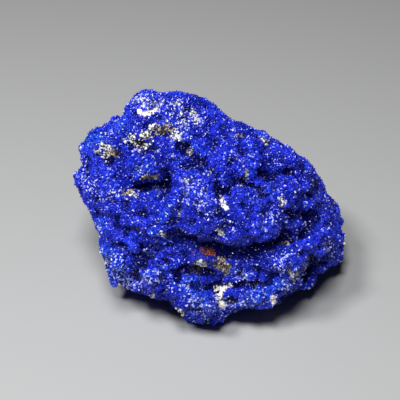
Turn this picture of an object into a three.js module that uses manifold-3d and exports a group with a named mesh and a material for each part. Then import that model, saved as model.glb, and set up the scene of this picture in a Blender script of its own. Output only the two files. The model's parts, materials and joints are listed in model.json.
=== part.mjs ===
// Azurite nodule, a lump of intergrown deep blue azurite crystals with pale grains of its
// host rock in the creases. It grew as one piece, so it is one solid.
// Millimetres, +Z up, standing on the flats of its three feet at z = 0, with the origin
// below the middle of the stone.
//
// The stone is sculpted in the frame of its display face, x across, y up the face and
// z out of it, then leant back into the pose in which it rests.
import * as THREE from "three";
import { mergeVertices } from "three/addons/utils/BufferGeometryUtils.js";
import { ImprovedNoise } from "three/addons/math/ImprovedNoise.js";
import Module from "manifold-3d";

// Driving dimensions
const faceLean = 50; // degrees that the display face leans back from upright
const frontDepth = 11.5; // from the rim plane to the top of the face
const backDepth = 12;
const heartHeight = 11.6; // of the sculpting origin above the table
const bluntness = 2.5; // 2 is an ellipsoid, more is blockier
const sphereDetail = 19; // 20 * (detail + 1)^2 triangles
const undersideGap = 1.1; // between the table and the hollows of the underside
const eyeDistance = 155; // the strokes are laid out as seen from this far in front of the face
const eyePoint = { across: -1.4, up: 1 }; // the point straight in front of that eye
const azureBlue = 0x1a2bb8;

// The feet that the nodule stands on.
const feet = [
  { x: -1, y: -11, radius: 2.6 },
  { x: -8, y: 5.5, radius: 3.2 },
  { x: 9, y: 4.5, radius: 3.2 },
];

// Relief all over: a broad swell, and two sizes of rounded lump.
const swell = { size: 7, height: 1.1 };
const lumps = [
  { size: 4.6, height: 1.1 },
  { size: 2.6, height: 0.7 },
];
const meanLump = 0.7; // what a lump's height averages, of 1 on its crest
const reliefOnBack = 2.3;
const reliefOnFront = 0.8;

// The display face thins toward its lower edge, between these heights below the heart.
const taper = { from: 4, to: 12, share: 0.35 };

// Around the rim, how far up the ball the strokes and the relief come in.
const rimBand = { strokes: 0.3, relief: 0.5, leastRelief: 0.15 };

// How the stone rounds off away from its rim, so that the rim's outline doesn't run on in flutes.
const rounding = {
  width: 0.25, // share of the way to the pole over which the outline fades
  front: 0.5, // how much of it fades
  back: 1,
  shrink: 0.94,
  wander: 0.5, // radians that the outline strays by
};

// The rim, seen square on to the display face: across, up, out.
const rim = [
  // knob on the upper left shoulder
  [-11.9, 14.3, -1], [-11.3, 15.8, -1.5], [-9.8, 16.7, -2], [-8.2, 16.7, -2], [-7.2, 16, -2],
  // crown, falling away to the right
  [-4, 16, -2], [-0.3, 15.1, -2], [2.2, 12.3, -2.5], [5.4, 11, -3], [7.7, 10.4, -3],
  [9.2, 9, -3], [11.5, 7.7, -3], [13.8, 6.5, -3], [15.3, 4.5, -3], [16.7, 1.5, -3],
  // far right lobe
  [18.6, 0, -3.5], [19.5, -3.3, -3.5], [19.4, -7.2, -3.5], [17.6, -8.8, -3], [15.7, -9.4, -1.5],
  // lower right lobe
  [14.4, -10.9, 0], [11.9, -12, 1], [9.2, -13.9, 1.5],
  // hem between the feet
  [5, -13.9, 2],
  // front foot
  [1.4, -15.3, 3], [-0.9, -15.2, 3], [-2.7, -15.2, 3], [-4.3, -14.5, 2],
  // lower left lobe
  [-6.8, -12.5, 1], [-9.7, -12.6, 1], [-11.8, -11.5, 1], [-13.8, -10.9, 1], [-14.4, -8.2, 1],
  [-15.3, -6.2, 0.5], [-15.2, -3.7, 0],
  // left flank
  [-16.8, -1.1, 0], [-18.4, 1.7, 0], [-18.7, 4.2, 0], [-17.9, 6.6, 0],
  // upper left tip
  [-18.6, 8.6, 0], [-17.4, 10.3, 0], [-14.9, 11.7, -0.5], [-12.8, 12.9, -1],
];

// Strokes on the display face. Each follows a line of [across, up] points and moves the
// surface out (+) or in (-) by push at the line, fading out at its reach.
const bulges = [
  { name: "forehead", line: [[0.5, -1.2], [7, -1.6]], reach: 5.4, push: 2.2 },
  { name: "forehead ridge", line: [[6.8, -2.6], [9.4, 0.8]], reach: 2.4, push: 0.6 },
  { name: "crown", line: [[3, 8]], reach: 5.5, push: 1 },
  { name: "crown ridge", line: [[-5, 14], [0, 11.5], [6, 8.4]], reach: 2.6, push: 0.6 },
  { name: "middle bulge", line: [[-2.6, 2.9], [-1.2, 0.4]], reach: 3.6, push: 1.5 },
  { name: "brow above the cave", line: [[-10.6, 5.4], [-7, 6]], reach: 2.4, push: 1 },
  { name: "floor of the cave", line: [[-10.4, 0.8], [-6.2, 1.2]], reach: 1.9, push: 1.1 },
  { name: "left cheek", line: [[-14.2, 2]], reach: 3.4, push: 1.5 },
  { name: "left jowl", line: [[-13.4, -1.8], [-8.6, -2.4]], reach: 2.6, push: 1 },
  { name: "upper left slope", line: [[-15.6, 9.4], [-11.4, 12]], reach: 2.6, push: 0.6 },
  { name: "cleft brow", line: [[8, 6.6], [11.4, 6.2]], reach: 1.9, push: 0.6 },
  { name: "cleft floor", line: [[5, 1.7]], reach: 1.9, push: 1.2 },
  { name: "bead right of the cleft floor", line: [[9.6, 1.4]], reach: 1.9, push: 0.8 },
  { name: "right temple", line: [[12.6, 2.8]], reach: 2, push: 0.9 },
  { name: "knob", line: [[-9.7, 15]], reach: 2.4, push: 2.2 },
  { name: "bead above the left creases", line: [[-7.5, -4.1]], reach: 1.6, push: 1.1 },
  { name: "front foot", line: [[-1.7, -12.4], [-0.9, -14.2]], reach: 4, push: 3.4 },
  { name: "hem", line: [[3, -13], [7.6, -12.9]], reach: 1.9, push: 1.8 },
  { name: "pad above the hem", line: [[5.4, -9.2]], reach: 2.1, push: 1.4 },
  { name: "lower right lobe", line: [[11.2, -7.6], [10.6, -10.2]], reach: 3.6, push: 3 },
  { name: "far right shoulder", line: [[16, -4.6], [16.6, -2.2]], reach: 2.4, push: 1.1 },
  { name: "lower left lobe", line: [[-13.2, -7.4]], reach: 3.2, push: 1.8 },
  { name: "lower left heel", line: [[-7.9, -9.9]], reach: 2.5, push: 1.9 },
  { name: "left hem", line: [[-9, -12], [-5.6, -11.9]], reach: 1.8, push: 1 },
  { name: "rusty knot under the ledge", line: [[-0.9, -7.2]], reach: 1.9, push: 2 },
];

// An overhang cuts in only below its line, under a lip.
const hollows = [
  { name: "ledge", line: [[0.8, -4.9], [4.6, -5], [7.6, -4.7], [9.6, -4.2]], reach: 2.9, push: -4.6,
    overhang: true },
  { name: "left end of the ledge", line: [[-3.8, -3.8], [-1.6, -4.3], [0.4, -4.8]], reach: 2.2,
    push: -3, overhang: true },
  { name: "second ledge", line: [[-3.2, -8.5], [-1.8, -8.2], [0.2, -8.6], [1.8, -9.2]], reach: 1.6,
    push: -2, overhang: true },
  { name: "left creases", line: [[-10, -6.2], [-9.3, -4.9], [-7.6, -5.7], [-5.4, -5.4]], reach: 1.2,
    push: -1.8 },
  { name: "left pocket", line: [[-5.5, -7.6]], reach: 1.1, push: -1.4 },
  { name: "crease above the jowl", line: [[-8.4, -2.8], [-6.4, -2.7]], reach: 1, push: -0.8 },
  { name: "cave", line: [[-10.4, 3.3], [-8.6, 3.9], [-6.7, 4.1]], reach: 2, push: -3, overhang: true },
  { name: "hook of the cave", line: [[-6, 4], [-5.3, 4.8]], reach: 1, push: -1.6 },
  { name: "back of the cave", line: [[-8, 2.9], [-6.6, 2.9]], reach: 1.4, push: -2.4 },
  { name: "matrix crease", line: [[-15.6, 6.8], [-12.8, 8], [-9.8, 9.2], [-6.6, 10.4], [-2.6, 13.2]],
    reach: 1.5, push: -0.7 },
  { name: "matrix pocket", line: [[-9.7, 9.1]], reach: 1.1, push: -1.9 },
  { name: "left matrix pocket", line: [[-13.1, 7.7]], reach: 1.1, push: -1.3 },
  { name: "tip pocket", line: [[-14.6, 6.3]], reach: 1, push: -0.9 },
  { name: "crown pocket", line: [[-3.2, 8.2]], reach: 1.1, push: -1.8 },
  { name: "crown dip", line: [[-2.2, 6.5], [-0.6, 5.7]], reach: 1.3, push: -0.8 },
  { name: "cleft", line: [[7.6, 5], [8.8, 4.9], [10.6, 5.4]], reach: 1.7, push: -2.4, overhang: true },
  { name: "winding crease", line: [[1.6, 1.9], [2.8, 2.5], [3.7, 3.5], [5.8, 3.4], [7.4, 2.4]],
    reach: 1.1, push: -1.7 },
  { name: "temple dips", line: [[14.9, 3], [14, 1.4]], reach: 1.1, push: -1.2 },
  { name: "left arm of the right cave", line: [[10.8, -1.2], [12.2, -1]], reach: 1.4, push: -2.6,
    overhang: true },
  { name: "right arm of the right cave", line: [[15, -1.2], [13.4, -2.9], [12.8, -4.4]], reach: 1.3,
    push: -3 },
  { name: "crease left of the nub", line: [[10.3, -2.2], [10.2, -4.4]], reach: 1, push: -1.8 },
  { name: "crease behind the lower right lobe", line: [[13.4, -10.6], [14, -8.2], [14.2, -6.6]],
    reach: 1.5, push: -3 },
  { name: "under the far right lobe", line: [[15.4, -7.6], [18, -7]], reach: 1.7, push: -2,
    overhang: true },
  { name: "dip above the hem", line: [[4.4, -10.9], [6.4, -10.8]], reach: 1.2, push: -1.6 },
  { name: "left pit", line: [[-15.8, 0.9]], reach: 1.2, push: -1.6 },
  { name: "heel dip", line: [[-10.6, -10.8]], reach: 1.1, push: -1.3 },
  { name: "left of the foot", line: [[-4.6, -13.4]], reach: 1.4, push: -1.2 },
];
const { clamp, degToRad, lerp, smoothstep } = THREE.MathUtils;
const noise = new ImprovedNoise();

// The rim at any bearing round the sculpting origin, and its mean radius near that bearing.
function measureRim(samples = 1440) {
  const points = rim.map((point) => new THREE.Vector3(...point));
  const curve = new THREE.CatmullRomCurve3(points, true, "centripetal");
  const edges = curve.getPoints(samples).map((p) => ({
    bearing: Math.atan2(p.y, p.x),
    radius: Math.hypot(p.x, p.y),
    out: p.z,
  }));
  edges.sort((a, b) => a.bearing - b.bearing);

  const edgeAt = (turn) => {
    const bearing = turn - 2 * Math.PI * Math.round(turn / (2 * Math.PI));
    let low = 0;
    let high = edges.length - 1;
    while (low < high) {
      const middle = (low + high) >> 1;
      if (edges[middle].bearing < bearing) low = middle + 1;
      else high = middle;
    }
    return edges[low];
  };

  const meanRadius = (bearing) => {
    const turns = [-60, -50, -40, -30, -20, -10, 0, 10, 20, 30, 40, 50, 60].map(degToRad);
    return turns.reduce((sum, turn) => sum + edgeAt(bearing + turn).radius, 0) / turns.length;
  };

  return { edgeAt, meanRadius };
}

// How far a point is from a stroke's line, and how far below its nearest point.
function nearest(line, across, up) {
  const point = new THREE.Vector2(across, up);
  let found = { distance: Infinity, below: 0 };
  line.forEach((start, i) => {
    const from = new THREE.Vector2(...start);
    const along = new THREE.Vector2(...(line[i + 1] ?? start)).sub(from);
    const share = along.lengthSq() ? point.clone().sub(from).dot(along) / along.lengthSq() : 0;
    const foot = from.addScaledVector(along, clamp(share, 0, 1));
    const distance = foot.distanceTo(point);
    if (distance < found.distance) found = { distance, below: foot.y - up };
  });
  return found;
}

// A bulge is a dome that ends in a crease, a hollow is a smooth dent.
function pushOf(stroke, across, up) {
  const { distance, below } = nearest(stroke.line, across, up);
  const share = distance / stroke.reach;
  if (share >= 1) return 0;
  const dome = 1 - share ** 2;
  const profile = stroke.push > 0 ? dome : dome ** 2;
  const underLip = stroke.overhang ? smoothstep(below, -0.4, 0.5) : 1;
  return stroke.push * profile * underLip;
}

// What the strokes move a point of the face by.
function strokesAt(p) {
  const spread = eyeDistance / (eyeDistance - p.z);
  const across = eyePoint.across + (p.x - eyePoint.across) * spread;
  const up = eyePoint.up + (p.y - eyePoint.up) * spread;
  return [...bulges, ...hollows].reduce((sum, stroke) => sum + pushOf(stroke, across, up), 0);
}

// A repeatable random number from 0 to 1 for a cell of space.
function chance(cell, salt) {
  const value = Math.sin(cell.x * 127.1 + cell.y * 311.7 + cell.z * 74.7 + salt * 53.3) * 43758.5453;
  return value - Math.floor(value);
}

// Rounded lumps that meet in creases: 1 on a lump's crest, falling to 0 a cell away.
function lump(p, size) {
  const here = p.clone().divideScalar(size);
  const home = here.clone().floor();
  const cell = new THREE.Vector3();
  const crest = new THREE.Vector3();
  let nearestSquared = 1;
  for (let n = 0; n < 27; n++) {
    cell.set((n % 3) - 1, (Math.floor(n / 3) % 3) - 1, Math.floor(n / 9) - 1).add(home);
    crest.set(chance(cell, 1), chance(cell, 2), chance(cell, 3)).add(cell);
    nearestSquared = Math.min(nearestSquared, crest.distanceToSquared(here));
  }
  return 1 - nearestSquared;
}

function relief(p) {
  const q = p.clone().divideScalar(swell.size);
  const swelling = swell.height * noise.noise(q.x + 5.3, q.y + 1.7, q.z + 9.1);
  return lumps.reduce((sum, { size, height }) => sum + height * (lump(p, size) - meanLump), swelling);
}

// Draws in softly what stands out past the rim as the eye sees it.
function drawIn(p, rimRadius) {
  const soft = 0.06;
  const limit = 1.03 * rimRadius * Math.min(1, 1 - p.z / eyeDistance);
  const reach = Math.hypot(p.x, p.y) / limit;
  const over = (reach - 1 + soft) / soft;
  if (over <= 0) return;
  const share = (1 - soft * Math.exp(-over)) / reach;
  p.x *= share;
  p.y *= share;
}

// A blunt ball that reaches out to the rim, with the strokes on its front and relief all over.
function sculpt() {
  const { edgeAt, meanRadius } = measureRim();
  const ball = new THREE.IcosahedronGeometry(1, sphereDetail);
  ball.deleteAttribute("normal");
  ball.deleteAttribute("uv");
  const geometry = mergeVertices(ball, 1e-4);
  const position = geometry.attributes.position;
  const direction = new THREE.Vector3();
  for (let i = 0; i < position.count; i++) {
    direction.fromBufferAttribute(position, i).normalize();
    const isFront = direction.z > 0;
    const steepness = Math.abs(direction.z);
    const sideways = Math.hypot(direction.x, direction.y);
    const blunt = (sideways ** bluntness + steepness ** bluntness) ** (-1 / bluntness);

    const fade = smoothstep(steepness, 0, rounding.width) * (isFront ? rounding.front : rounding.back);
    const q = direction.clone().multiplyScalar(3);
    const stray = rounding.wander * fade * noise.noise(q.x + 2.2, q.y + 8.4, q.z + 3.7);
    const bearing = Math.atan2(direction.y, direction.x) + stray;
    const edge = edgeAt(bearing);
    const radius = lerp(edge.radius, meanRadius(bearing) * rounding.shrink, fade);

    const p = direction.clone().multiplyScalar(blunt);
    p.z = p.z * (isFront ? frontDepth : backDepth) + (1 - Math.abs(p.z)) * edge.out;
    p.x *= radius;
    p.y *= radius;
    if (isFront) p.z += strokesAt(p) * smoothstep(direction.z, 0, rimBand.strokes);
    if (isFront) p.z *= 1 - taper.share * smoothstep(-p.y, taper.from, taper.to);

    const frontShare = smoothstep(direction.z, -rimBand.relief, rimBand.relief);
    const rough = relief(p) * lerp(reliefOnBack, reliefOnFront, frontShare);
    const offRim = Math.min(1, rimBand.leastRelief + steepness / rimBand.strokes);
    p.x += direction.x * rough * offRim;
    p.y += direction.y * rough * offRim;
    p.z += direction.z * rough;
    drawIn(p, edgeAt(Math.atan2(p.y, p.x)).radius);
    position.setXYZ(i, p.x, p.y, p.z);
  }
  return geometry.rotateX(degToRad(faceLean)).translate(0, 0, heartHeight);
}

// Draws the feet down through the table, and raises the rest of the underside clear of it.
function shapeUnderside(geometry) {
  const softness = 2.2; // height over which the rise fades out
  const footDrop = 2;
  const legHeight = 7;
  const position = geometry.attributes.position;
  for (let i = 0; i < position.count; i++) {
    const [x, y, z] = [position.getX(i), position.getY(i), position.getZ(i)];
    const nearFeet = feet.map((foot) => {
      return 1 - smoothstep(Math.hypot(x - foot.x, y - foot.y), foot.radius * 0.6, foot.radius * 1.5);
    });
    const standing = Math.max(...nearFeet);
    const low = z - standing * footDrop * smoothstep(-z, -legHeight, 0);
    const clearance = undersideGap + 0.8 * noise.noise(x / 3, y / 3, 4.2);
    const floor = clearance - standing * (clearance + footDrop);
    const rise = (low - floor) / softness;
    position.setZ(i, rise < 1 ? floor + softness * Math.exp(rise - 1) : low);
  }
  return geometry;
}

const wasm = await Module();
wasm.setup();

const asSolid = (geometry) =>
  new wasm.Manifold(
    new wasm.Mesh({
      numProp: 3,
      vertProperties: new Float32Array(geometry.attributes.position.array),
      triVerts: new Uint32Array(geometry.index.array),
    }),
  );

function asGeometry(solid) {
  const mesh = solid.getMesh();
  return new THREE.BufferGeometry()
    .setAttribute("position", new THREE.BufferAttribute(mesh.vertProperties, 3))
    .setIndex(new THREE.BufferAttribute(mesh.triVerts, 1));
}

// The table plane trims the feet flat.
function trimFeet(geometry) {
  const thickness = 20;
  const side = 80;
  const table = new THREE.BoxGeometry(side, side, thickness).translate(0, 0, -thickness / 2);
  table.deleteAttribute("normal");
  table.deleteAttribute("uv");
  return asGeometry(asSolid(geometry).subtract(asSolid(mergeVertices(table))));
}

const nodule = trimFeet(shapeUnderside(sculpt()));
nodule.computeBoundingBox();
const middle = nodule.boundingBox.getCenter(new THREE.Vector3());
nodule.translate(-middle.x, -middle.y, 0);
nodule.computeVertexNormals();

const azurite = new THREE.MeshStandardMaterial({ color: azureBlue, roughness: 0.55, metalness: 0 });
const body = new THREE.Mesh(nodule, azurite);
body.name = "azurite_nodule";

const specimen = new THREE.Group();
specimen.add(body);
export default specimen;
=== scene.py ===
import json
import math

import bmesh
import bpy
import numpy as np
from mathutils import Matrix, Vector

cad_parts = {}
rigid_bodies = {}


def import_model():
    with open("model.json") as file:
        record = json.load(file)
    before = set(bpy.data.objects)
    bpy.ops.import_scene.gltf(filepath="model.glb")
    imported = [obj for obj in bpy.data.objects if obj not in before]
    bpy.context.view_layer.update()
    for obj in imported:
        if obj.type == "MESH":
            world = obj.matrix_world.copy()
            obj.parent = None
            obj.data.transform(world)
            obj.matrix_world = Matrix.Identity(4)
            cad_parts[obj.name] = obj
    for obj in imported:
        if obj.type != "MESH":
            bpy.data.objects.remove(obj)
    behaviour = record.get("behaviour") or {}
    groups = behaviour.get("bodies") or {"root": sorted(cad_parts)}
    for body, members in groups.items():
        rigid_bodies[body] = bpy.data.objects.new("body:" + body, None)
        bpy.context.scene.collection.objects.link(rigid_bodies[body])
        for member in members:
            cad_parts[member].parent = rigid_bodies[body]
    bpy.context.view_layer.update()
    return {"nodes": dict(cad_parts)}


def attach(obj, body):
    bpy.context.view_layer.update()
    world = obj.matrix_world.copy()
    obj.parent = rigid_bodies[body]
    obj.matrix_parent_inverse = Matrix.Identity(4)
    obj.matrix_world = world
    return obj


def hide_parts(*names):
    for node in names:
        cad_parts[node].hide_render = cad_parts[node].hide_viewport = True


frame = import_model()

# An azurite nodule on a table: the lump itself, its crust of small blue crystals, and the
# grains of host rock in its creases. Lengths are in metres, and mm makes them readable.
mm = 0.001
root = "root"

# The display face leans back about the heart. Places on it are [across, up] in
# millimetres, as the eye in front of it sees them.
face = {
    "heart": (-0.387, -0.151, 11.6),
    "lean": 50,
    "eyeDistance": 155.6,
    "eyePoint": (-1.4, 0.98),
    "edge": (-2, 0),  # millimetres out from the heart, where the marks on it begin and are full
}


def deselectAll():
    if bpy.context.object and bpy.context.object.mode != "OBJECT":
        bpy.ops.object.mode_set(mode="OBJECT")
    bpy.ops.object.select_all(action="DESELECT")


def pick(piece):
    deselectAll()
    piece.select_set(True)
    bpy.context.view_layer.objects.active = piece


def applyModifiers(piece):
    pick(piece)
    for modifier in list(piece.modifiers):
        bpy.ops.object.modifier_apply(modifier=modifier.name)


def readPoints(mesh):
    points = np.zeros(len(mesh.vertices) * 3)
    mesh.vertices.foreach_get("co", points)
    return points.reshape(-1, 3)


def seenPlaces(points):
    # where each point appears on the display face, and how far out of it, in millimetres
    lean = math.radians(face["lean"])
    x, y, z = (points / mm - np.array(face["heart"])).T
    up = y * math.cos(lean) + z * math.sin(lean)
    out = z * math.cos(lean) - y * math.sin(lean)
    spread = face["eyeDistance"] / (face["eyeDistance"] - out)
    acrossEye, upEye = face["eyePoint"]
    return acrossEye + (x - acrossEye) * spread, upEye + (up - upEye) * spread, out


def smoothRise(value, low, high):
    share = np.clip((value - low) / (high - low), 0, 1)
    return share * share * (3 - 2 * share)


def lineDistance(across, up, line):
    # how far each place is from a line through [across, up] points
    nearest = np.full(len(across), np.inf)
    for start, end in zip(line, line[1:] or line):
        stepAcross, stepUp = end[0] - start[0], end[1] - start[1]
        length = stepAcross**2 + stepUp**2 or 1
        along = (across - start[0]) * stepAcross + (up - start[1]) * stepUp
        share = np.clip(along / length, 0, 1)
        gap = np.hypot(across - start[0] - share * stepAcross, up - start[1] - share * stepUp)
        nearest = np.minimum(nearest, gap)
    return nearest


def nearLine(across, up, line, reach, fade):
    # 0 away from the line and 1 on it, between two multiples of its reach
    outer, inner = fade
    return smoothRise(-lineDistance(across, up, line) / reach, -outer, -inner)


# The lump itself.
azuriteMass = {
    "merge": 0.001 * mm,
    "voxel": 0.24 * mm,
    "waves": [  # texture, size of a feature, height
        ("CLOUDS", 3.0 * mm, 1.5 * mm),
        ("VORONOI", 2.6 * mm, 1.8 * mm),
        ("VORONOI", 1.4 * mm, 1.1 * mm),
        ("CLOUDS", 0.7 * mm, 0.4 * mm),
    ],
    "middle": {"CLOUDS": 0.5, "VORONOI": 0.45},  # the relief goes in about as far as out
    "cloudDetail": 2,
    "broadWave": 1 * mm,  # larger waves than this are calmed where the surface turns away
    "calmed": 0.3,  # what is left of them there
    "facing": (0.1, 0.5),  # calmed below the first, and whole above the second
    "calmSteps": 10,
    "hollowFade": (1.2, 0.2),  # in multiples of the reach, where a hollow begins and is full
    "paintFade": (1, 0),
    # a hollow pushed in this deep is painted darkest: painted shade
    "darkestDepth": 1.3,  # millimetres
}

# The caves and creases of the display face are drawn deeper than the lump has them, and a
# few knobs are drawn out: line, reach, depth, all in millimetres.
# the deeper a hollow is drawn here, the darker it is also painted: painted shade
deepened = [
    # the left cave, and the pits above and beside it
    ([[-11.4, 2.4], [-10, 2.7]], 0.5, 0.4),
    ([[-9.8, 2.7], [-8.4, 3.1], [-7.2, 3.2], [-6.0, 2.8]], 0.75, 1.9),
    ([[-5.6, 3.6], [-5.2, 4.3]], 0.4, 0.6),
    ([[-9.7, 9.0]], 0.65, 1.6),
    ([[-13.1, 7.7]], 0.7, 0.9),
    ([[-15.2, 6.4], [-14.2, 6.2]], 0.4, 0.5),
    ([[-3.3, 8.2]], 0.6, 0.9),
    ([[-7.9, 8.2]], 0.4, 0.5),
    ([[-6.6, 10.4]], 0.6, 0.5),
    ([[-2.4, 6.3], [-1.4, 5.9]], 0.7, 0.5),
    ([[-15.8, 1.1]], 0.6, 0.9),
    ([[-16.2, -1.2]], 0.6, 0.4),
    # the cleft and the right shoulder
    ([[1.4, 1.6], [2.3, 2.1]], 0.7, 1.0),
    ([[2.6, 2.4], [3.4, 3.5], [4.4, 3.4]], 0.5, 0.8),
    ([[5, 3.2], [6.6, 2.6], [7.8, 1.9]], 0.5, 0.7),
    ([[7.2, 4.6], [8.6, 4.7], [10.6, 4.9]], 0.8, 1.0),
    ([[8.2, 3.9], [9.2, 3.8]], 0.6, 0.8),
    ([[14.7, 3.6], [14.8, 2.6]], 0.5, 0.8),
    ([[13.6, 1.8], [14, 1.4]], 0.6, 0.7),
    ([[12, 2.6]], 0.6, 0.4),
    # the right cave
    ([[10.4, -0.8], [11.2, -1.2]], 0.7, 1.0),
    ([[12.6, -1.3], [14.6, -1.4]], 0.8, 1.6),
    ([[14, -2.2], [13.4, -3.2], [12.6, -4.2]], 0.7, 1.4),
    ([[10.2, -2.2], [10, -3.8]], 0.5, 0.9),
    # under the ledge
    ([[-6, -4], [-4.2, -3.9], [-2.2, -4.3]], 0.8, 1.1),
    (
        [[-1.4, -4.9], [0.6, -5.3], [2.6, -5.9], [5, -5.9], [7.4, -5.7], [9.4, -4.9], [10.6, -4]],
        1.0,
        0.8,
    ),
    ([[1, -6.6], [3, -6.8], [5.6, -6.6]], 0.9, 0.8),
    ([[-10.2, -4.9], [-9.6, -5.7]], 0.6, 0.9),
    ([[-8.6, -5.5], [-6.4, -5.7], [-5, -4.9]], 0.5, 0.8),
    ([[-5.7, -7.7]], 0.7, 0.9),
    ([[-3.4, -6.4]], 0.5, 0.7),
    ([[-2.8, -8.4], [-1.6, -8.9], [0.2, -9], [1.6, -9.6]], 0.6, 0.9),
    ([[-10.8, -7.4]], 0.5, 0.5),
    ([[-8, -8], [-9.4, -8.4]], 0.4, 0.5),
    # the lower lobes
    ([[13.6, -9.4], [14, -8], [14.2, -6.6]], 0.7, 1.0),
    ([[9.9, -12.6], [10.3, -13.2]], 0.4, 0.7),
    ([[7.6, -8.4], [8, -9.6]], 0.4, 0.5),
    # knobs
    ([[-3.6, -13.2], [-0.8, -13.8]], 2.0, -0.9),
    ([[4.6, -12.6], [9.2, -11.8]], 1.6, -0.7),
    ([[-7.6, -9.8]], 1.0, -0.6),
    ([[-12.6, -8]], 1.2, -0.5),
    ([[11.8, -2.3]], 0.6, -0.5),
    ([[-9.4, 5.2], [-7.6, 5.1], [-5.8, 5.7]], 0.9, -0.7),
    ([[4.6, 1.2]], 1.2, -0.5),
    ([[5.4, -10.6]], 1.2, -0.5),
]

# Broad, shallow hollows above the lower lobes, which are no darker than the rest, so that the
# lobes stand out and their tops face the light.
recessed = [
    ([[-3.6, -9.7], [-2, -9.8], [0.8, -10.2]], 1.9, 1.0),
    ([[4.4, -9.0], [6.4, -9.6]], 1.4, 0.6),
    ([[-12.6, -6.4], [-9.4, -7.6]], 1.6, 0.9),
]

# Darker and lighter blues painted on the stone: line, reach, strength. The darker spots join
# the painted shade of the hollows: under the ledge and under the right lobe they are painted
# shade, elsewhere they darken the blue.
deepBlueAndShade = [
    ([[-4.4, -5.2], [1, -6.6], [7.6, -6.4]], 2.4, 0.6),
    ([[-15, -0.4], [-10, 0.6]], 3.6, 0.26),
    ([[-4, -0.6], [1, -0.2]], 3.6, 0.24),
    ([[6, 0.6], [7.4, 1.8]], 3.2, 0.22),
    ([[-10, 2.4], [-8.6, 2.3], [-5.6, 2.0]], 0.9, 0.5),
    ([[-3.6, -3], [1, -3.6]], 1.4, 0.25),
    ([[13.6, 4.4], [15, 2.2]], 1.8, 0.35),
    ([[14, -9], [16.4, -8.8], [18.4, -7.6]], 1.5, 0.6),
    ([[-16.4, -0.6]], 1.6, 0.25),
    ([[8, 4.4], [10, 4.2]], 1.5, 0.25),
    ([[11.4, -2.6], [13.6, -2.4]], 2.4, 0.3),
    ([[-5.2, -12.8], [-4.2, -13.9]], 0.9, 0.5),
]
# Lighter azure spots: partly the stone's own azure, partly painted light on the left-facing edges
# and on the lower lobes, which face away from the lamps.
azureAndLitSpots = [
    ([[-17.6, 9.2], [-15.6, 9.8]], 1.9, 0.8),
    ([[-13.4, 11], [-11.6, 10.6]], 1.8, 0.4),
    ([[-10.4, 5.6], [-8.4, 5.8]], 1.3, 0.6),
    ([[-6.4, -1.5]], 1.3, 0.7),
    ([[-7.8, -3.8], [-6.2, -4.2]], 1.2, 0.6),
    ([[-15.8, -1.8], [-15, -2.8]], 1.2, 0.5),
    ([[-14.4, -6.2], [-12.8, -9.6]], 2.0, 0.7),
    ([[-9.8, -9], [-6.8, -9.4]], 1.2, 0.5),
    ([[-2.6, -10.8], [-1.2, -13.6]], 2.2, 0.7),
    ([[17.6, -5.6]], 1.2, 0.5),
    ([[4.6, -13.6], [10.4, -10.6]], 2.0, 0.7),
    ([[-2.4, 5.2]], 1.6, 0.3),
]


def makeAzuriteMass():
    node = frame["nodes"]["azurite_nodule"]
    mass = bpy.data.objects.new("azuriteMass", node.data.copy())
    bpy.context.scene.collection.objects.link(mass)
    mass.data.materials.clear()
    pick(mass)
    bpy.ops.object.mode_set(mode="EDIT")
    bpy.ops.mesh.select_all(action="SELECT")
    bpy.ops.mesh.remove_doubles(threshold=azuriteMass["merge"])
    bpy.ops.object.mode_set(mode="OBJECT")
    rounding = mass.modifiers.new("rounding", "SUBSURF")
    rounding.levels = rounding.render_levels = 1
    remesh = mass.modifiers.new("evenMesh", "REMESH")
    remesh.mode = "VOXEL"
    remesh.voxel_size = azuriteMass["voxel"]
    applyModifiers(mass)
    deepenHollows(mass)
    calm = steadyOutline(mass)
    for number, (pattern, size, height) in enumerate(azuriteMass["waves"]):
        texture = bpy.data.textures.new(f"wave{number}", pattern)
        texture.noise_scale = size
        if pattern == "CLOUDS":
            texture.noise_depth = azuriteMass["cloudDetail"]
        wave = mass.modifiers.new(f"wave{number}", "DISPLACE")
        wave.texture = texture
        wave.texture_coords = "LOCAL"
        if size > azuriteMass["broadWave"]:
            wave.vertex_group = calm.name
        wave.strength = -height if pattern == "VORONOI" else height
        wave.mid_level = azuriteMass["middle"][pattern]
    applyModifiers(mass)
    keepOffTable(mass)
    return mass


def paintSpots(across, up, spots):
    paint = np.zeros(len(across))
    for line, reach, strength in spots:
        paint += strength * nearLine(across, up, line, reach, azuriteMass["paintFade"])
    return paint


def deepenHollows(mass):
    points = readPoints(mass.data)
    across, up, out = seenPlaces(points)
    fade = azuriteMass["hollowFade"]
    hollow = np.zeros(len(points))
    knob = np.zeros(len(points))
    for line, reach, depth in deepened:
        push = depth * nearLine(across, up, line, reach, fade)
        hollow = np.maximum(hollow, push)
        knob = np.minimum(knob, push)
    recess = np.zeros(len(points))
    for line, reach, depth in recessed:
        recess = np.maximum(recess, depth * nearLine(across, up, line, reach, fade))
    hollow[out < 0] = knob[out < 0] = recess[out < 0] = 0
    push = np.maximum(hollow, recess) + knob
    lean = math.radians(face["lean"])
    inward = np.array([0, math.sin(lean), -math.cos(lean)]) * mm
    points += push[:, None] * inward
    mass.data.vertices.foreach_set("co", points.ravel())
    mass.data.update()
    front = smoothRise(out, *face["edge"])
    deep = paintSpots(across, up, deepBlueAndShade) * front
    # painted shade: the deeper a hollow was pushed in, the darker it is painted, and the darker
    # spots are added to it
    writeMask(mass.data, "hollow", np.clip(hollow / azuriteMass["darkestDepth"] + deep, 0, 1))
    # the lighter azure spots: partly the stone's own azure, partly painted light
    writeMask(mass.data, "azureAndPaintedLight", paintSpots(across, up, azureAndLitSpots) * front)


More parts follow.
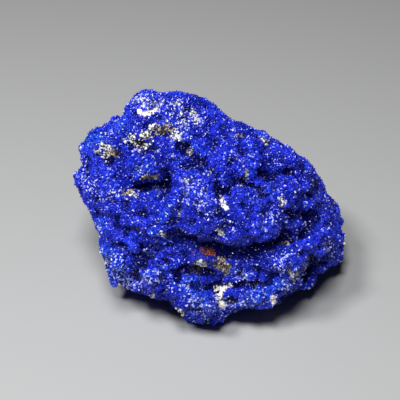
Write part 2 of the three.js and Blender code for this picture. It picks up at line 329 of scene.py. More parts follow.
def steadyOutline(mass):
    # the broad waves fade where the display face turns away, so its outline stays put
    normals = np.zeros(len(mass.data.vertices) * 3)
    mass.data.vertices.foreach_get("normal", normals)
    lean = math.radians(face["lean"])
    facing = np.abs(normals.reshape(-1, 3) @ np.array([0, -math.sin(lean), math.cos(lean)]))
    least, steps = azuriteMass["calmed"], azuriteMass["calmSteps"]
    weights = least + (1 - least) * smoothRise(facing, *azuriteMass["facing"])
    group = mass.vertex_groups.new(name="broadWaves")
    for step in range(1, steps + 1):
        chosen = np.flatnonzero(np.round(weights * steps) == step)
        group.add(chosen.tolist(), step / steps, "REPLACE")
    return group


def keepOffTable(piece):
    # what reaches below the table is drawn back up to it, and the feet stay flat on it
    points = readPoints(piece.data)
    points[:, 2] = np.maximum(points[:, 2], 0)
    piece.data.vertices.foreach_set("co", points.ravel())
    piece.data.update()


def writeMask(mesh, name, values):
    attribute = mesh.attributes.new(name, "FLOAT", "POINT")
    attribute.data.foreach_set("value", values.astype(np.float32))


def settle(values, ends, count, rounds):
    # each point takes the mean of its neighbours, a number of times over
    for turn in range(rounds):
        total = np.zeros_like(values)
        for column in range(values.shape[1]):
            total[:, column] = np.bincount(ends[:, 0], values[ends[:, 1], column], len(values))
            total[:, column] += np.bincount(ends[:, 1], values[ends[:, 0], column], len(values))
        values = total / count
    return values


creases = {
    "normalRounds": 8,
    "scales": [  # rounds of smoothing, depths from and to in millimetres, strength
        (24, (0.02, 0.30), 0.75),
        (150, (0.15, 0.85), 0.6),
    ],
}


def shadeCreases(mass):
    # a point in a crease lies below its own smoothed surroundings; there it is painted darker, as
    # painted shade
    mesh = mass.data
    points = readPoints(mesh)
    normals = np.zeros(points.size)
    mesh.vertices.foreach_get("normal", normals)
    ends = np.zeros(len(mesh.edges) * 2, np.int64)
    mesh.edges.foreach_get("vertices", ends)
    ends = ends.reshape(-1, 2)
    count = np.bincount(ends.ravel(), minlength=len(points))[:, None]
    normals = settle(normals.reshape(-1, 3), ends, count, creases["normalRounds"])
    normals /= np.linalg.norm(normals, axis=1)[:, None] + 1e-9  # a zero normal stays zero
    hollow = np.zeros(len(points), np.float32)
    mesh.attributes["hollow"].data.foreach_get("value", hollow)
    for rounds, depths, strength in creases["scales"]:
        depth = ((settle(points, ends, count, rounds) - points) * normals).sum(1) / mm
        hollow += strength * smoothRise(depth, *depths)
    hollow = np.clip(hollow, 0, 1).astype(np.float32)
    mesh.attributes["hollow"].data.foreach_set("value", hollow)


# Host rock and stains on the display face: kind, line, reach, and how full the patch is.
patches = [
    # the knob
    ("chalk", [[-10.0, 13.4], [-9.3, 13.05], [-8.4, 13.1], [-7.4, 13.8]], 0.28, 1.2),
    ("quartz", [[-10.3, 15.2], [-9.2, 14.6]], 0.8, 0.25),
    ("quartz", [[-7.6, 14.6], [-6.4, 14.4]], 0.7, 0.12),
    ("quartz", [[-4.6, 14.5], [-4.2, 14.8]], 0.45, 0.6),
    ("quartz", [[-2.6, 13.4], [-2.0, 13.0]], 0.5, 0.55),
    ("quartz", [[-4.0, 12.9], [-3.6, 12.3]], 0.5, 0.45),
    ("quartz", [[-2.4, 12.4], [-1.8, 11.8]], 0.45, 0.6),
    ("quartz", [[-5.6, 12.6], [-4.4, 11.8]], 0.8, 0.12),
    # the matrix crease
    ("clay", [[-7.2, 11.0], [-5.7, 10.7]], 0.95, 0.55),
    ("umber", [[-7.0, 10.9], [-6.3, 10.4]], 0.45, 0.9),
    ("umber", [[-5.5, 10.9]], 0.35, 0.8),
    ("quartz", [[-5.0, 10.2], [-4.4, 9.6]], 0.6, 0.6),
    ("quartz", [[-4.6, 11.3], [-3.9, 10.6]], 0.6, 0.2),
    ("quartz", [[-9.3, 10.0], [-8.6, 10.2]], 0.6, 1.2),
    ("quartz", [[-10.9, 9.7], [-10.5, 9.3]], 0.55, 1.2),
    ("quartz", [[-8.4, 11.2], [-8.3, 10.7]], 0.4, 0.8),
    ("umber", [[-9.8, 9.1], [-9.5, 8.9]], 0.6, 1.3),
    ("quartz", [[-10.8, 8.4], [-9.6, 7.9], [-8.4, 9.0]], 0.35, 0.5),
    ("quartz", [[-12.2, 9.4], [-11.4, 9.0]], 0.35, 0.5),
    ("quartz", [[-14.8, 8.6], [-14.3, 8.2]], 0.55, 1.2),
    ("quartz", [[-14.7, 7.1], [-14.3, 6.9]], 0.45, 1.2),
    ("clay", [[-14.1, 7.8], [-13.5, 7.6]], 0.5, 1.0),
    ("umber", [[-13.1, 7.5]], 0.5, 1.0),
    ("quartz", [[-15.4, 7.8]], 0.6, 0.4),
    # crown and right shoulder
    ("clay", [[-2.8, 7.7]], 0.45, 1.0),
    ("clay", [[3.9, 10.1], [4.6, 9.9]], 0.35, 0.7),
    ("quartz", [[7.5, 9.4], [7.9, 9.0]], 0.5, 0.7),
    ("quartz", [[5.0, 5.0], [5.1, 4.3]], 0.36, 1.2),
    ("quartz", [[4.2, 2.9]], 0.3, 0.6),
    ("chalk", [[1.7, 1.0], [1.9, 0.3], [2.4, -0.2]], 0.3, 1.2),
    ("quartz", [[9.9, 1.3], [10.1, 0.2]], 0.3, 0.9),
    ("quartz", [[-0.2, 4.2], [0.2, 4.8]], 0.3, 0.4),
    # middle and left
    ("quartz", [[-3.4, 3.7], [-2.8, 3.4]], 0.4, 0.6),
    ("clay", [[-9.4, 4.1], [-8.4, 4.3], [-7.6, 4.2]], 0.3, 1.0),
    ("clay", [[-11.8, 2.0], [-11.1, 2.2]], 0.5, 0.9),
    ("quartz", [[-10.9, 1.6], [-10.2, 1.5]], 0.35, 0.7),
    ("clay", [[-7.4, -1.8]], 0.3, 0.6),
    ("clay", [[-4.3, -1.0]], 0.3, 0.5),
    ("quartz", [[-6.9, -3.6], [-6.4, -3.9]], 0.35, 0.6),
    ("quartz", [[1.2, -3.1], [1.7, -3.8]], 0.35, 0.8),
    ("clay", [[10.2, -5.0], [10.8, -5.0]], 0.35, 0.9),
    ("quartz", [[13.3, -2.4]], 0.25, 0.7),
    # under the ledge
    ("rust", [[-0.7, -6.2], [0.2, -6.5]], 0.55, 1.3),
    ("rust", [[-2.2, -6.6]], 0.35, 0.5),
    ("quartz", [[-1.7, -7.6], [-0.9, -7.9]], 0.5, 0.7),
    ("clay", [[1.2, -8.0], [2.2, -8.5]], 0.8, 1.0),
    ("umber", [[-2.6, -8.6], [-1.8, -9.0]], 0.5, 0.8),
    ("clay", [[1.7, -7.1]], 0.35, 0.8),
    # lower lobes
    ("chalk", [[0.9, -11.4], [2.0, -11.2], [2.9, -11.0]], 0.26, 1.2),
    ("chalk", [[1.9, -11.6], [1.2, -12.4], [1.4, -13.4], [2.0, -13.9]], 0.33, 1.2),
    ("quartz", [[2.8, -13.4]], 0.35, 0.4),
    ("quartz", [[11.2, -9.0], [11.8, -9.5]], 0.45, 0.8),
    ("quartz", [[11.6, -10.3]], 0.35, 0.6),
    ("chalk", [[8.9, -12.6], [8.9, -13.4]], 0.34, 1.2),
    ("quartz", [[-4.3, -14.4], [-3.9, -14.8]], 0.4, 0.8),
    ("quartz", [[-14.8, -7.6], [-14.6, -8.0]], 0.3, 0.8),
    ("quartz", [[-12.6, -10.6], [-12.3, -11.0]], 0.3, 0.8),
    ("quartz", [[-8.1, -12.3]], 0.35, 0.8),
]
patchKinds = ["quartz", "chalk", "clay", "umber", "rust"]

# Where the crust's crystals are frosted pale: line, reach, strength. The pale crystals are
# partly pale grains and partly painted glints; the spots on the foot and the lower lobes are
# painted light, as those lobes face away from the lamps.
frostAndLitSpots = [
    ([[-10.4, 15.4], [-7.6, 14.6]], 1.6, 0.2),
    ([[-5.6, 14.0], [-2.0, 12.0], [-4.4, 10.0]], 2.0, 0.16),
    ([[-17.8, 4.4], [-16.6, 2.2]], 1.8, 0.18),
    ([[-13, 2.4], [-14.6, 1.6]], 1.4, 0.14),
    ([[-9.4, 5.4]], 1.2, 0.16),
    ([[-3.4, 3.4], [-1.6, 2.6]], 1.8, 0.16),
    ([[-2.4, 1.2], [0, 0.6]], 2.0, 0.14),
    ([[7.6, -2.2], [8.8, -0.6]], 1.8, 0.16),
    ([[9.6, 0.6]], 1.4, 0.14),
    ([[10.4, -8.2], [11.6, -9.6], [10.4, -11.2]], 2.0, 0.2),
    ([[10.2, -6.8]], 1.2, 0.12),
    ([[0.6, -13.4], [2.6, -13.6]], 1.8, 0.22),
    ([[-3.4, -11.4], [-1.4, -14.6]], 2.4, 0.16),
    ([[4, -9.4], [6.6, -11.4]], 1.8, 0.2),
    ([[-10.4, -10.6], [-7.6, -9.8]], 1.8, 0.2),
    ([[-14.4, -6.6], [-13.6, -8], [-12.6, -10]], 2.2, 0.14),
    ([[16.4, -5.4], [17.6, -7]], 1.4, 0.16),
    ([[5, -13.2], [8, -13]], 1.3, 0.14),
]

patchEdge = {"ragged": 0.35, "fade": (1.15, 0.85)}

# Host rock on the sides and back: the size of its patches in millimetres, and where it shows.
backRock = {
    "broad": 4.5,
    "fine": 1.2,
    "fineShare": 0.4,
    "shows": (0.75, 1.05),
    "behind": (-1, 2),
    "fullness": 0.6,
    "clayBase": 0.6,
    "clayShows": (0.7, 0.9),
}

# A thin scatter of pale crystals everywhere, with more of them in soft patches: partly pale
# grains, partly painted glints.
paleCrystals = {"least": 0.018, "more": 0.09, "size": 1.3, "shows": (0.4, 1.1)}


def paintMass(mass):
    # masks for the host rock, the stains and the frosted crystals
    points = readPoints(mass.data)
    across, up, out = seenPlaces(points)
    front = smoothRise(out, *face["edge"])
    ragged = raggedness(points)
    outer, inner = patchEdge["fade"]
    masks = {kind: np.zeros(len(points)) for kind in patchKinds}
    for kind, line, reach, fullness in patches:
        share = lineDistance(across, up, line) / reach + patchEdge["ragged"] * ragged
        cover = np.minimum(fullness, 1) * smoothRise(-share, -outer, -inner) * front
        masks[kind] = np.maximum(masks[kind], cover)

    fine = backRock["fineShare"] * raggedness(points, backRock["fine"])
    quartz = smoothRise(raggedness(points, backRock["broad"]) + fine, *backRock["shows"])
    quartz *= smoothRise(-out, *backRock["behind"])
    clay = smoothRise(quartz * (backRock["clayBase"] + ragged), *backRock["clayShows"])
    masks["quartz"] = np.maximum(masks["quartz"], backRock["fullness"] * quartz)
    masks["clay"] = np.maximum(masks["clay"], backRock["fullness"] * clay)
    for kind in patchKinds:
        writeMask(mass.data, kind, masks[kind])

    pale = smoothRise(raggedness(points, paleCrystals["size"]), *paleCrystals["shows"])
    frostAndPaintedLight = paleCrystals["least"] + paleCrystals["more"] * pale
    # pale crystals, partly painted glints; the listed spots on the lower lobes are painted light
    writeMask(mass.data, "frostAndPaintedLight", frostAndPaintedLight + paintSpots(across, up, frostAndLitSpots) * front)


raggedWaves = {"seed": 11, "count": 14, "length": 2.2, "spread": (0.7, 1.5), "height": 0.8}


def raggedness(points, size=0.55):
    # a soft random field from about -1 to 1, as sums of waves in scattered directions
    shuffle = np.random.default_rng(raggedWaves["seed"])
    length = size * raggedWaves["length"] * mm
    field = np.zeros(len(points))
    for wave in range(raggedWaves["count"]):
        direction = shuffle.normal(size=3)
        direction *= shuffle.uniform(*raggedWaves["spread"]) / np.linalg.norm(direction)
        start = shuffle.uniform(0, 6.28)  # anywhere in one turn
        field += np.sin(points @ direction * 2 * math.pi / length + start)
    return field / raggedWaves["count"]**0.5 * raggedWaves["height"]


print("stage: the lump")
mass = makeAzuriteMass()
shadeCreases(mass)
paintMass(mass)
print("lump triangles", 2 * len(mass.data.polygons))


# Small shapes, one unit across, that are scattered over the lump.
def selectFaces(piece, wanted):
    shape = bmesh.from_edit_mesh(piece.data)
    for part in shape.faces:
        part.select_set(wanted(part))
    bmesh.update_edit_mesh(piece.data)


endFace = 0.9  # a face whose normal is this near to straight up or down


def makeBlade(name, sides, slim, taper, slant, length, tipDepth=0.9, raised=0.15):
    # a short blade with a chisel tip, left open below, where most of its rim is in the stone
    deselectAll()
    bpy.ops.mesh.primitive_cylinder_add(vertices=sides, radius=0.5, depth=length)
    blade = bpy.context.object
    blade.name = name
    bpy.ops.object.mode_set(mode="EDIT")
    bpy.ops.mesh.select_mode(type="FACE")
    selectFaces(blade, lambda part: part.normal.z > endFace)
    bpy.ops.transform.resize(value=(taper, tipDepth, 1))
    bpy.ops.transform.rotate(value=slant, orient_axis="X", center_override=(0, 0, length / 2))
    selectFaces(blade, lambda part: part.normal.z < -endFace)
    bpy.ops.mesh.delete(type="FACE")
    bpy.ops.mesh.select_all(action="SELECT")
    bpy.ops.transform.resize(value=(1, slim, 1))
    bpy.ops.transform.translate(value=(0, 0, length * raised))
    bpy.ops.object.mode_set(mode="OBJECT")
    return blade


def makeGrain(name, flatness, seed, breadth=0.8, knock=0.14):
    # a rough grain: a ball of few faces, flattened and knocked out of round
    deselectAll()
    bpy.ops.mesh.primitive_ico_sphere_add(subdivisions=1, radius=0.5)
    grain = bpy.context.object
    grain.name = name
    bpy.ops.object.mode_set(mode="EDIT")
    bpy.ops.mesh.select_all(action="SELECT")
    bpy.ops.transform.resize(value=(1, breadth, flatness))
    bpy.ops.transform.vertex_random(offset=knock, seed=seed)
    bpy.ops.object.mode_set(mode="OBJECT")
    return grain


def gather(name, shapes):
    group = bpy.data.collections.new(name)
    for shape in shapes:
        for holder in list(shape.users_collection):
            holder.objects.unlink(shape)
        group.objects.link(shape)
    return group


def buildScatter(name, settings, group):
    # points on the faces where the mask is, a shape on each, and the shapes made real
    tree = bpy.data.node_groups.new(name, "GeometryNodeTree")
    tree.interface.new_socket("Geometry", in_out="INPUT", socket_type="NodeSocketGeometry")
    tree.interface.new_socket("Geometry", in_out="OUTPUT", socket_type="NodeSocketGeometry")
    make = tree.nodes.new
    link = tree.links.new
    start = make("NodeGroupInput")
    mask = make("GeometryNodeInputNamedAttribute")
    mask.data_type = "FLOAT"
    mask.inputs["Name"].default_value = settings["mask"]
    points = make("GeometryNodeDistributePointsOnFaces")
    points.distribute_method = "POISSON"
    points.inputs["Distance Min"].default_value = settings["spacing"]
    points.inputs["Density Max"].default_value = settings["density"]
    points.inputs["Seed"].default_value = settings["seed"]
    link(start.outputs[0], points.inputs["Mesh"])
    link(mask.outputs["Attribute"], points.inputs["Density Factor"])

    tilt = make("FunctionNodeRandomValue")
    tilt.data_type = "FLOAT_VECTOR"
    lean = math.radians(settings["tilt"])
    tilt.inputs["Min"].default_value = (-lean, -lean, 0)
    tilt.inputs["Max"].default_value = (lean, lean, 2 * math.pi)
    tilt.inputs["Seed"].default_value = settings["seed"] + 1
    turn = make("FunctionNodeEulerToRotation")
    aim = make("FunctionNodeRotateRotation")
    aim.rotation_space = "LOCAL"
    link(tilt.outputs["Value"], turn.inputs["Euler"])
    link(points.outputs["Rotation"], aim.inputs["Rotation"])
    link(turn.outputs["Rotation"], aim.inputs["Rotate By"])

    size = make("FunctionNodeRandomValue")
    size.data_type = "FLOAT"
    size.inputs[2].default_value, size.inputs[3].default_value = settings["size"]
    size.inputs["Seed"].default_value = settings["seed"] + 2

    shapes = make("GeometryNodeCollectionInfo")
    shapes.inputs["Collection"].default_value = group
    shapes.inputs["Separate Children"].default_value = True
    shapes.inputs["Reset Children"].default_value = True
    place = make("GeometryNodeInstanceOnPoints")
    place.inputs["Pick Instance"].default_value = True
    link(points.outputs["Points"], place.inputs["Points"])
    link(shapes.outputs["Instances"], place.inputs["Instance"])
    link(aim.outputs["Rotation"], place.inputs["Rotation"])
    link(size.outputs[1], place.inputs["Scale"])

    shade = make("FunctionNodeRandomValue")
    shade.data_type = "FLOAT"
    shade.inputs["Seed"].default_value = settings["seed"] + 3
    keep = make("GeometryNodeStoreNamedAttribute")
    keep.data_type = "FLOAT"
    keep.domain = "INSTANCE"
    keep.inputs["Name"].default_value = "grainShade"
    link(place.outputs["Instances"], keep.inputs["Geometry"])
    link(shade.outputs[1], keep.inputs["Value"])
    real = make("GeometryNodeRealizeInstances")
    link(keep.outputs["Geometry"], real.inputs["Geometry"])
    end = make("NodeGroupOutput")
    link(real.outputs["Geometry"], end.inputs[0])
    return tree


def scatter(name, settings, group, material):
    piece = bpy.data.objects.new(name, mass.data.copy())
    bpy.context.scene.collection.objects.link(piece)
    scattering = piece.modifiers.new("scatter", "NODES")
    scattering.node_group = buildScatter(name, settings, group)
    applyModifiers(piece)
    for attribute in list(piece.data.attributes):
        if attribute.name in [*zones, *patchKinds]:
            piece.data.attributes.remove(piece.data.attributes[attribute.name])
    keepOffTable(piece)
    piece.data.materials.clear()
    piece.data.materials.append(material)
    piece.data.calc_loop_triangles()
    print("  ", name, len(piece.data.loop_triangles), "triangles")
    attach(piece, root)


# Materials.
def newMaterial(name):
    material = bpy.data.materials.new(name)
    material.use_nodes = True
    material.node_tree.nodes.clear()
    make = material.node_tree.nodes.new
    out = make("ShaderNodeOutputMaterial")
    surface = make("ShaderNodeBsdfPrincipled")
    material.node_tree.links.new(surface.outputs[0], out.inputs["Surface"])
    return material, surface


def mixColors(tree, amount, low, high):
    # low and high are colours or the outputs of nodes
    mix = tree.nodes.new("ShaderNodeMix")
    mix.data_type = "RGBA"
    for socket, value in ((0, amount), (6, low), (7, high)):
        if isinstance(value, (tuple, float)):
            mix.inputs[socket].default_value = value
        else:
            tree.links.new(value, mix.inputs[socket])
    return mix.outputs[2]


def mapValue(tree, value, fromLow, fromHigh, toLow=0.0, toHigh=1.0):
    remap = tree.nodes.new("ShaderNodeMapRange")
    tree.links.new(value, remap.inputs["Value"])
    remap.inputs["From Min"].default_value = fromLow
    remap.inputs["From Max"].default_value = fromHigh
    remap.inputs["To Min"].default_value = toLow
    remap.inputs["To Max"].default_value = toHigh
    return remap.outputs["Result"]


def readAttribute(tree, name):
    node = tree.nodes.new("ShaderNodeAttribute")
    node.attribute_name = name
    return node.outputs["Fac"]


def buildGrainTone():
    # puts out a slow change of tone over the stone, and a fine grain
    tree = bpy.data.node_groups.new("grainTone", "ShaderNodeTree")
    tree.interface.new_socket("Slow Size", in_out="INPUT", socket_type="NodeSocketFloat")
    tree.interface.new_socket("Fine Size", in_out="INPUT", socket_type="NodeSocketFloat")
    tree.interface.new_socket("Slow", in_out="OUTPUT", socket_type="NodeSocketFloat")
    tree.interface.new_socket("Fine", in_out="OUTPUT", socket_type="NodeSocketFloat")
    start = tree.nodes.new("NodeGroupInput")
    end = tree.nodes.new("NodeGroupOutput")
    place = tree.nodes.new("ShaderNodeTexCoord")
    for name, detail in (("Slow", 3), ("Fine", 2)):
        scale = tree.nodes.new("ShaderNodeMath")
        scale.operation = "DIVIDE"
        scale.inputs[0].default_value = 1
        tree.links.new(start.outputs[name + " Size"], scale.inputs[1])
        noise = tree.nodes.new("ShaderNodeTexNoise")
        noise.inputs["Detail"].default_value = detail
        tree.links.new(place.outputs["Object"], noise.inputs["Vector"])
        tree.links.new(scale.outputs[0], noise.inputs["Scale"])
        tree.links.new(noise.outputs["Fac"], end.inputs[name])
    return tree


def buildFacets():
    # tips the normal a different way in each small cell, as on a crust of crystal faces
    tree = bpy.data.node_groups.new("crystalFacets", "ShaderNodeTree")
    tree.interface.new_socket("Size", in_out="INPUT", socket_type="NodeSocketFloat")
    tree.interface.new_socket("Tilt", in_out="INPUT", socket_type="NodeSocketFloat")
    tree.interface.new_socket("Normal", in_out="OUTPUT", socket_type="NodeSocketVector")
    make = tree.nodes.new
    link = tree.links.new
    start = make("NodeGroupInput")
    end = make("NodeGroupOutput")
    place = make("ShaderNodeTexCoord")
    scale = make("ShaderNodeMath")
    scale.operation = "DIVIDE"
    scale.inputs[0].default_value = 1
    link(start.outputs["Size"], scale.inputs[1])
    cells = make("ShaderNodeTexVoronoi")
    link(place.outputs["Object"], cells.inputs["Vector"])
    link(scale.outputs[0], cells.inputs["Scale"])
    centre = make("ShaderNodeVectorMath")
    centre.operation = "SUBTRACT"
    centre.inputs[1].default_value = (0.5, 0.5, 0.5)
    link(cells.outputs["Color"], centre.inputs[0])
    tip = make("ShaderNodeVectorMath")
    tip.operation = "SCALE"
    link(centre.outputs[0], tip.inputs[0])
    link(start.outputs["Tilt"], tip.inputs["Scale"])
    geometry = make("ShaderNodeNewGeometry")
    add = make("ShaderNodeVectorMath")
    add.operation = "ADD"
    link(geometry.outputs["Normal"], add.inputs[0])
    link(tip.outputs[0], add.inputs[1])
    unit = make("ShaderNodeVectorMath")
    unit.operation = "NORMALIZE"
    link(add.outputs[0], unit.inputs[0])
    link(unit.outputs[0], end.inputs["Normal"])
    return tree


def addGroup(tree, group, **values):
    node = tree.nodes.new("ShaderNodeGroup")
    node.node_tree = group
    for name, value in values.items():
        node.inputs[name.replace("_", " ")].default_value = value
    return node


grainTone = buildGrainTone()
crystalFacets = buildFacets()

azuriteLook = {
    "deep": (0.002, 0.009, 0.25, 1),
    "blue": (0.020, 0.036, 0.70, 1),
    # azure: partly the stone's own, partly painted light on the left edges and the lower lobes
    "azureAndPaintedLight": (0.018, 0.10, 0.86, 1),
    "darkest": (0.001, 0.003, 0.2, 1),
    # painted shade: the near-black blue of the hollows, the creases and the darker spots
    "paintedShade": (0.001, 0.002, 0.08, 1),
    # the pale crystals, whose bluish white is partly a painted glint
    "frostAndPaintedLight": (0.46, 0.52, 0.94, 1),
    "roughness": (0.1, 0.28),
    "refraction": 1.76,
    "shine": 0.22,
    "slowSize": 2.6 * mm,
    "fineSize": 0.35 * mm,
    "azureTone": (0.5, 0.72, 0, 0.4),  # tone from and to, then share of the colour from and to
    "deepTone": (0.53, 0.36, 0, 0.9),
    "darkCrystals": (0.35, 1),
    "paleCrystals": (1, 2.4, 1, 0),  # a few crystals white, more of them hazed
    "bodyTone": (0.4, 0.65),
    # how far the painted shade darkens the blue
    "paintedShadeTone": (0.1, 1, 0, 0.93),
    "roughTone": (0.3, 0.7),
    "facetSize": 0.16 * mm,
    "bodyTilt": 1.1,
    "crustTilt": 0.5,
}

grainLook = {  # what the grains of every kind share
    "slowSize": 1.2 * mm,
    "fineSize": 0.2 * mm,
    "darkGrains": (0.3, 1),
    "darkFlecks": (0.45, 0.75, 0, 0.6),
    "facetSize": 0.12 * mm,
    "facetTilt": 0.4,
}

# under quartz and clay the lump is painted near black, which shows in the gaps between the grains
# as painted shade
hostRockLook = {  # pale and dark tones of the grains, and the stone under them
    "quartz": {
        "pale": (0.72, 0.74, 0.73, 1),
        "dark": (0.30, 0.31, 0.32, 1),
        "bed": (0.06, 0.055, 0.06, 1),
        "roughness": 0.32,
    },
    "chalk": {
        "pale": (0.88, 0.86, 0.83, 1),
        "dark": (0.66, 0.60, 0.56, 1),
        "bed": (0.5, 0.46, 0.42, 1),
        "roughness": 0.8,
    },
    "clay": {
        "pale": (0.46, 0.40, 0.33, 1),
        "dark": (0.12, 0.085, 0.06, 1),
        "bed": (0.05, 0.035, 0.03, 1),
        "roughness": 0.75,
    },
    "umber": {
        "pale": (0.06, 0.038, 0.024, 1),
        "dark": (0.012, 0.008, 0.008, 1),
        "bed": (0.012, 0.008, 0.008, 1),
        "roughness": 0.85,
    },
    "rust": {
        "pale": (0.34, 0.07, 0.02, 1),
        "dark": (0.09, 0.015, 0.012, 1),
        "bed": (0.07, 0.012, 0.01, 1),
        "roughness": 0.7,
    },
}


def azuriteMaterial(name, isCrust):
    look = azuriteLook
    material, surface = newMaterial(name)
    tree = material.node_tree
    tone = addGroup(tree, grainTone, Slow_Size=look["slowSize"], Fine_Size=look["fineSize"])
    azureShare = mapValue(tree, tone.outputs["Slow"], *look["azureTone"])
    blue = mixColors(tree, azureShare, look["blue"], look["azureAndPaintedLight"])
    deepShare = mapValue(tree, tone.outputs["Slow"], *look["deepTone"])
    blue = mixColors(tree, deepShare, blue, look["deep"])
    # painted light on the lower lobes and left edges, with some of the stone's own azure
    blue = mixColors(tree, readAttribute(tree, "azureAndPaintedLight"), blue, look["azureAndPaintedLight"])
    if isCrust:
        shade = readAttribute(tree, "grainShade")
        dark = mapValue(tree, shade, *look["darkCrystals"])
        blue = mixColors(tree, dark, blue, look["darkest"])
        # crystals turned pale: partly pale grains, partly painted glints and painted light on the
        # lower lobes
        share = tree.nodes.new("ShaderNodeMath")
        share.operation = "DIVIDE"
        tree.links.new(shade, share.inputs[0])
        tree.links.new(readAttribute(tree, "frostAndPaintedLight"), share.inputs[1])
        frosted = mapValue(tree, share.outputs[0], *look["paleCrystals"])
        blue = mixColors(tree, frosted, blue, look["frostAndPaintedLight"])
    else:
        light = mapValue(tree, tone.outputs["Fine"], *look["bodyTone"])
        blue = mixColors(tree, light, look["deep"], blue)
        # the lump under the grains: near black under quartz and clay, painted shade in the gaps
        # between grains
        for kind in patchKinds:
            blue = mixColors(tree, readAttribute(tree, kind), blue, hostRockLook[kind]["bed"])
    # painted shade in the hollows and creases, and on the darker spots
    paintedShade = mapValue(tree, readAttribute(tree, "hollow"), *look["paintedShadeTone"])
    blue = mixColors(tree, paintedShade, blue, look["paintedShade"])
    tree.links.new(blue, surface.inputs["Base Color"])
    rough = mapValue(tree, tone.outputs["Fine"], *look["roughTone"], *look["roughness"])
    tree.links.new(rough, surface.inputs["Roughness"])
    surface.inputs["IOR"].default_value = look["refraction"]
    surface.inputs["Specular IOR Level"].default_value = look["shine"]
    tilt = look["crustTilt"] if isCrust else look["bodyTilt"]
    facets = addGroup(tree, crystalFacets, Size=look["facetSize"], Tilt=tilt)
    tree.links.new(facets.outputs["Normal"], surface.inputs["Normal"])
    return material


def hostRockMaterial(kind):
    look, grain = hostRockLook[kind], grainLook
    material, surface = newMaterial(kind + "Grains")
    tree = material.node_tree
    tone = addGroup(tree, grainTone, Slow_Size=grain["slowSize"], Fine_Size=grain["fineSize"])
    darkShare = mapValue(tree, readAttribute(tree, "grainShade"), *grain["darkGrains"])
    color = mixColors(tree, darkShare, look["pale"], look["dark"])
    flecks = mapValue(tree, tone.outputs["Fine"], *grain["darkFlecks"])
    color = mixColors(tree, flecks, color, look["dark"])
    tree.links.new(color, surface.inputs["Base Color"])
    surface.inputs["Roughness"].default_value = look["roughness"]
    facets = addGroup(tree, crystalFacets, Size=grain["facetSize"], Tilt=grain["facetTilt"])
    tree.links.new(facets.outputs["Normal"], surface.inputs["Normal"])
    return material


print("stage: materials")
mass.data.materials.append(azuriteMaterial("azuriteBody", isCrust=False))
crustMaterial = azuriteMaterial("azuriteCrust", isCrust=True)
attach(mass, root)
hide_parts("azurite_nodule")

# The crust, in four zones so that each piece stays light.
zones = ["crustFrontLeft", "crustFrontRight", "crustBackLeft", "crustBackRight"]
crust = {
    "spacing": 0.174 * mm,
    "density": 2.4e7,
    "size": (0.17 * mm, 0.36 * mm),
    "tilt": 50,
    "seed": 3,
    "seedStep": 10,
    "frontFrom": 1,  # millimetres out from the heart of the face
    "giveWay": 1.3,  # how soon the crust gives way to host rock
}
bladeShapes = {  # sides, thickness, narrowing and slant of the tip, length
    "bladeWide": (6, 0.8, 0.45, 0.5, 0.8),
    "bladeStub": (5, 0.95, 0.7, -0.6, 0.7),
    "bladeThin": (6, 0.6, 0.6, 0.45, 1.0),
}


def paintZones():
    points = readPoints(mass.data)
    across, up, out = seenPlaces(points)
    covered = np.zeros(len(points))
    for kind in patchKinds:
        values = np.zeros(len(points), np.float32)
        mass.data.attributes[kind].data.foreach_get("value", values)
        covered = np.maximum(covered, values)
    bare = np.clip(1 - crust["giveWay"] * covered, 0, 1)
    isFront = out > crust["frontFrom"]
    isLeft = across < 0
    places = (isFront & isLeft, isFront & ~isLeft, ~isFront & isLeft, ~isFront & ~isLeft)
    for zone, place in zip(zones, places):
        writeMask(mass.data, zone, bare * place)


print("stage: the crust")
paintZones()
blades = gather("blades", [makeBlade(name, *shape) for name, shape in bladeShapes.items()])
for number, zone in enumerate(zones):
    seed = crust["seed"] + crust["seedStep"] * number
    scatter(zone, {**crust, "mask": zone, "seed": seed}, blades, crustMaterial)

# Grains of host rock and stains in the creases: spacing, smallest and largest grain in
# millimetres, then density, tilt and seed.
print("stage: the host rock")
hostRock = {
    "quartz": (0.26, 0.22, 0.62, 2.0e7, 75, 71),
    "chalk": (0.2, 0.36, 0.7, 3.0e7, 18, 81),
    "clay": (0.2, 0.24, 0.46, 2.5e7, 60, 91),
    "umber": (0.2, 0.24, 0.44, 2.5e7, 60, 101),
    "rust": (0.2, 0.22, 0.4, 2.5e7, 60, 111),
}
grains = gather("grains", [makeGrain("grainRound", 0.85, 1), makeGrain("grainLong", 0.65, 2)])
chips = gather("chips", [makeGrain("chipFlat", 0.4, 3), makeGrain("chipFlatter", 0.3, 4)])
for kind, (spacing, smallest, largest, density, tilt, seed) in hostRock.items():
    settings = {
        "mask": kind,
        "spacing": spacing * mm,
        "density": density,
        "size": (smallest * mm, largest * mm),
        "tilt": tilt,
        "seed": seed,
    }
    shapes = chips if kind == "chalk" else grains
    scatter(kind + "Grains", settings, shapes, hostRockMaterial(kind))
for group in (blades, grains, chips):
    for shape in list(group.objects):
        bpy.data.objects.remove(shape)
    bpy.data.collections.remove(group)


# The table, light and camera.
table = {
    "size": 3,
    # painted shade: the table is painted darker towards the back, where the light falls off
    "near": (0.49, 0.495, 0.495, 1),
    "far": (0.39, 0.395, 0.39, 1),
    "depth": (-0.03, 0.09),  # from the near tone to the far one
    # painted light: the far table glows, and the glow also lights the stone's sides as a fill
    "glow": (0.17, 0.55),  # how far out the table melts into the backdrop
    "roughness": 0.7,
    "shine": 0.2,
}


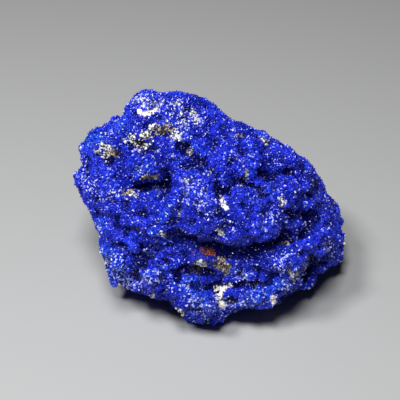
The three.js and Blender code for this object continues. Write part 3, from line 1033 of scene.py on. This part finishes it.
def makeFloor():
    deselectAll()
    bpy.ops.mesh.primitive_plane_add(size=table["size"])
    floor = bpy.context.object
    floor.name = "floor"
    material, surface = newMaterial("paleFloor")
    tree = material.node_tree
    place = tree.nodes.new("ShaderNodeTexCoord")
    split = tree.nodes.new("ShaderNodeSeparateXYZ")
    tree.links.new(place.outputs["Object"], split.inputs[0])
    # painted shade: the table darker towards the back
    depth = mapValue(tree, split.outputs["Y"], *table["depth"])
    color = mixColors(tree, depth, table["near"], table["far"])
    tree.links.new(color, surface.inputs["Base Color"])
    surface.inputs["Roughness"].default_value = table["roughness"]
    surface.inputs["Specular IOR Level"].default_value = table["shine"]
    # painted light: the table glows further out
    away = tree.nodes.new("ShaderNodeVectorMath")
    away.operation = "LENGTH"
    tree.links.new(place.outputs["Object"], away.inputs[0])
    glow = mapValue(tree, away.outputs["Value"], *table["glow"], 0, daylight["backdrop"])
    surface.inputs["Emission Color"].default_value = daylight["color"]
    tree.links.new(glow, surface.inputs["Emission Strength"])
    floor.data.materials.append(material)
    return floor


lights = {  # place, size across and up, watts
    "left": {"place": (-0.10, -0.06, 0.23), "size": (0.05, 0.05), "watts": 0.36},
    "above": {"place": (-0.02, -0.08, 0.27), "size": (0.07, 0.07), "watts": 0.54},
    "front": {"place": (-0.03, -0.155, 0.195), "size": (0.06, 0.06), "watts": 0.33},
}
fillLight = "front"  # leaves the table alone, so the shadow under the stone stays deep
lightAim = (0, 0, 0.012)
daylight = {
    "color": (0.97, 0.98, 1, 1),
    "strength": 0.01,
    "backdrop": 0.32,  # its strength as the camera sees it
}


def makeLights(floor):
    for name, setup in lights.items():
        deselectAll()
        bpy.ops.object.light_add(type="AREA", location=setup["place"])
        light = bpy.context.object
        light.name = name
        light.data.shape = "RECTANGLE"
        light.data.size, light.data.size_y = setup["size"]
        light.data.energy = setup["watts"]
        if name == fillLight:
            spared = bpy.data.collections.new("sparedByFill")
            spared.objects.link(floor)
            spared.collection_objects[0].light_linking.link_state = "EXCLUDE"
            light.light_linking.receiver_collection = spared
        aim = Vector(lightAim) - light.location
        light.rotation_euler = aim.to_track_quat("-Z", "Y").to_euler()
    world = bpy.data.worlds.new("daylight")
    world.use_nodes = True
    background = world.node_tree.nodes["Background"]
    background.inputs["Color"].default_value = daylight["color"]
    tree = world.node_tree
    path = tree.nodes.new("ShaderNodeLightPath")
    dim, bright = daylight["strength"], daylight["backdrop"]
    strength = mapValue(tree, path.outputs["Is Camera Ray"], 0, 1, dim, bright)
    tree.links.new(strength, background.inputs["Strength"])
    bpy.context.scene.world = world


camera = {"lens": 100, "sensor": 36, "elevation": 40, "nearest": 0.01}


def makeCamera():
    lean = math.radians(camera["elevation"])
    toCamera = Vector((0, -math.cos(lean), math.sin(lean)))
    upward = Vector((0, math.sin(lean), math.cos(lean)))
    acrossEye, upEye = face["eyePoint"]
    aim = (Vector(face["heart"]) + Vector((acrossEye, 0, 0)) + upward * upEye) * mm
    deselectAll()
    bpy.ops.object.camera_add(location=aim + toCamera * face["eyeDistance"] * mm)
    eye = bpy.context.object
    eye.rotation_euler = (-toCamera).to_track_quat("-Z", "Y").to_euler()
    eye.data.lens = camera["lens"]
    eye.data.sensor_width = camera["sensor"]
    eye.data.clip_start = camera["nearest"]
    bpy.context.scene.camera = eye


print("stage: table, light and camera")
makeLights(makeFloor())
makeCamera()
bpy.context.scene.view_settings.view_transform = "Standard"
